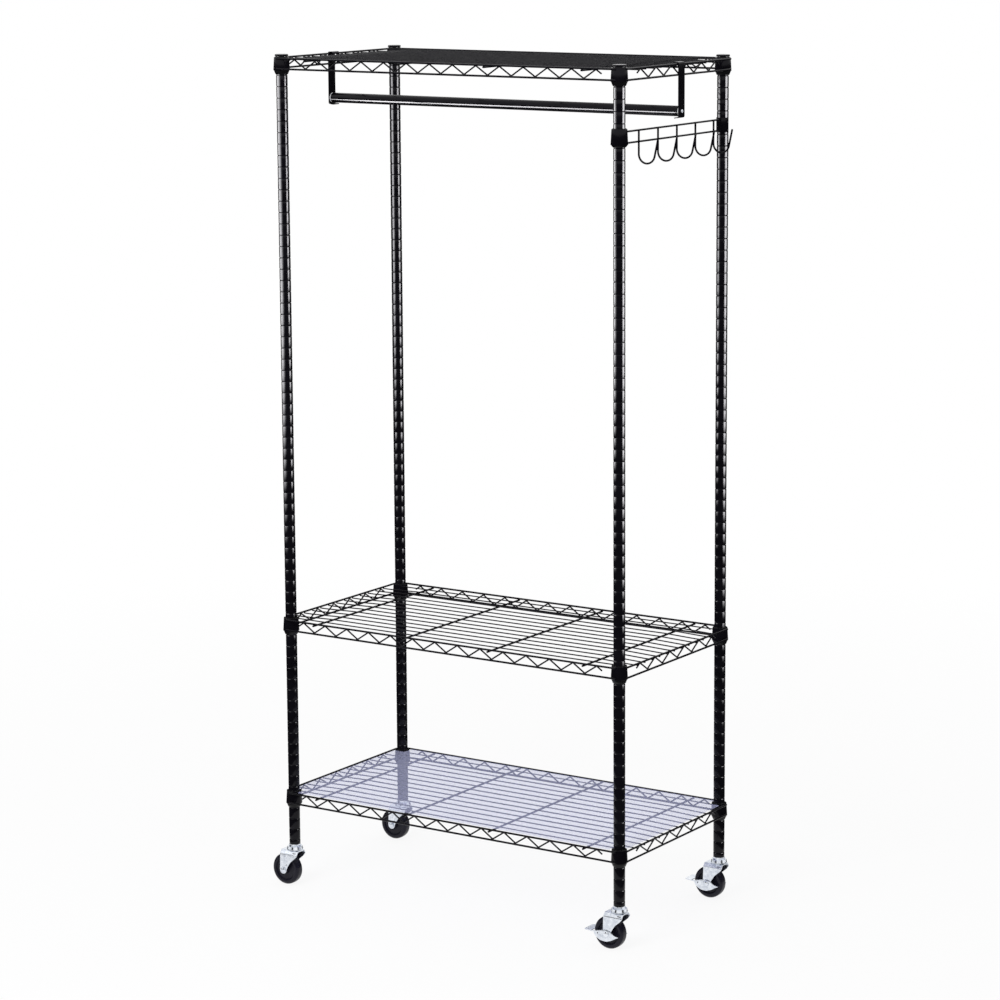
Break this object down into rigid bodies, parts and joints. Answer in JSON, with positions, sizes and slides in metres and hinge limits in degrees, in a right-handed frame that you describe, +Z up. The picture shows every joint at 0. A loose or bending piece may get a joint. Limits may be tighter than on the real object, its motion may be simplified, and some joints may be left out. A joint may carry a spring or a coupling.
{
  "type": "rolling clothes rack",
  "caption": "Rolling clothes rack: grooved posts on swivel casters carry wire shelves, a hanging bar and a side rail of coat hooks.",
  "frame": {"origin": "on the floor, midway between the four posts", "axes": "+X along the rack towards the hook rail, +Y towards the back, +Z up"},
  "size_m": [0.9864, 0.4794, 1.9085],
  "materials": {
    "black_powder_coat": "gloss black powder coat",
    "black_plastic": "moulded black plastic",
    "threaded_steel": "plain plated steel",
    "bright_zinc": "bright zinc-plated pressed steel",
    "wheel_polymer": "smooth dark wheel polymer",
    "liner_film": "clear plastic sheet",
    "pale_plastic": "moulded pale plastic"
  },
  "bodies": {
    "rack": {"shelf_bottom": "black_powder_coat", "sleeve_bottom_front_left": "black_plastic", "sleeve_bottom_front_right": "black_plastic", "sleeve_bottom_back_left": "black_plastic", "sleeve_bottom_back_right": "black_plastic", "shelf_middle": "black_powder_coat", "sleeve_middle_front_left": "black_plastic", "sleeve_middle_front_right": "black_plastic", "sleeve_middle_back_left": "black_plastic", "sleeve_middle_back_right": "black_plastic", "shelf_top": "black_powder_coat", "sleeve_top_front_left": "black_plastic", "sleeve_top_front_right": "black_plastic", "sleeve_top_back_left": "black_plastic", "sleeve_top_back_right": "black_plastic", "sleeve_hook_rail": "black_plastic", "hook_rail": "black_powder_coat", "hanging_bar": "black_powder_coat", "bar_bracket_left": "black_powder_coat", "bar_plug_left": "pale_plastic", "bar_screw_left": "bright_zinc", "bar_bracket_right": "black_powder_coat", "bar_plug_right": "pale_plastic", "bar_screw_right": "bright_zinc", "post_lower_front_left": "black_powder_coat", "post_upper_front_left": "black_powder_coat", "post_cap_front_left": "black_powder_coat", "post_joiner_front_left": "threaded_steel", "caster_stem_front_left": "bright_zinc", "post_lower_front_right": "black_powder_coat", "post_upper_front_right": "black_powder_coat", "post_cap_front_right": "black_powder_coat", "post_joiner_front_right": "threaded_steel", "caster_stem_front_right": "bright_zinc", "post_lower_back_left": "black_powder_coat", "post_upper_back_left": "black_powder_coat", "post_cap_back_left": "black_powder_coat", "post_joiner_back_left": "threaded_steel", "caster_stem_back_left": "bright_zinc", "post_lower_back_right": "black_powder_coat", "post_upper_back_right": "black_powder_coat", "post_cap_back_right": "black_powder_coat", "post_joiner_back_right": "threaded_steel", "caster_stem_back_right": "bright_zinc"},
    "swivel_front_left": {"caster_fork_front_left": "bright_zinc", "caster_axle_front_left": "bright_zinc"},
    "wheel_front_left": {"caster_wheel_front_left": "wheel_polymer"},
    "swivel_front_right": {"caster_fork_front_right": "bright_zinc", "caster_axle_front_right": "bright_zinc"},
    "wheel_front_right": {"caster_wheel_front_right": "wheel_polymer"},
    "brake_front_right": {"brake_pedal_front_right": "bright_zinc"},
    "swivel_back_left": {"caster_fork_back_left": "bright_zinc", "caster_axle_back_left": "bright_zinc"},
    "wheel_back_left": {"caster_wheel_back_left": "wheel_polymer"},
    "swivel_back_right": {"caster_fork_back_right": "bright_zinc", "caster_axle_back_right": "bright_zinc"},
    "wheel_back_right": {"caster_wheel_back_right": "wheel_polymer"},
    "brake_back_right": {"brake_pedal_back_right": "bright_zinc"},
    "liner": {"shelf_liner": "liner_film"}
  },
  "joints": [
    {"name": "swivel_turn_front_left", "type": "hinge", "parent": "rack", "child": "swivel_front_left", "pos_m": [-0.438, -0.216, 0.08], "axis": [0, 0, 1], "continuous": true},
    {"name": "wheel_spin_front_left", "type": "hinge", "parent": "swivel_front_left", "child": "wheel_front_left", "pos_m": [-0.46, -0.216, 0.0365], "axis": [0, 1, 0], "continuous": true},
    {"name": "swivel_turn_front_right", "type": "hinge", "parent": "rack", "child": "swivel_front_right", "pos_m": [0.438, -0.216, 0.08], "axis": [0, 0, 1], "continuous": true},
    {"name": "wheel_spin_front_right", "type": "hinge", "parent": "swivel_front_right", "child": "wheel_front_right", "pos_m": [0.416, -0.216, 0.0365], "axis": [0, 1, 0], "continuous": true},
    {"name": "brake_press_front_right", "type": "hinge", "parent": "swivel_front_right", "child": "brake_front_right", "pos_m": [0.416, -0.216, 0.0365], "axis": [0, -1, 0], "range_deg": [0, 12]},
    {"name": "swivel_turn_back_left", "type": "hinge", "parent": "rack", "child": "swivel_back_left", "pos_m": [-0.438, 0.216, 0.08], "axis": [0, 0, 1], "continuous": true},
    {"name": "wheel_spin_back_left", "type": "hinge", "parent": "swivel_back_left", "child": "wheel_back_left", "pos_m": [-0.46, 0.216, 0.0365], "axis": [0, 1, 0], "continuous": true},
    {"name": "swivel_turn_back_right", "type": "hinge", "parent": "rack", "child": "swivel_back_right", "pos_m": [0.438, 0.216, 0.08], "axis": [0, 0, 1], "continuous": true},
    {"name": "wheel_spin_back_right", "type": "hinge", "parent": "swivel_back_right", "child": "wheel_back_right", "pos_m": [0.416, 0.216, 0.0365], "axis": [0, 1, 0], "continuous": true},
    {"name": "brake_press_back_right", "type": "hinge", "parent": "swivel_back_right", "child": "brake_back_right", "pos_m": [0.416, 0.216, 0.0365], "axis": [0, -1, 0], "range_deg": [0, 12]},
    {"name": "liner_lift", "type": "slide", "parent": "rack", "child": "liner", "axis": [0, 0, 1], "range_m": [0, 0.3]}
  ]
}
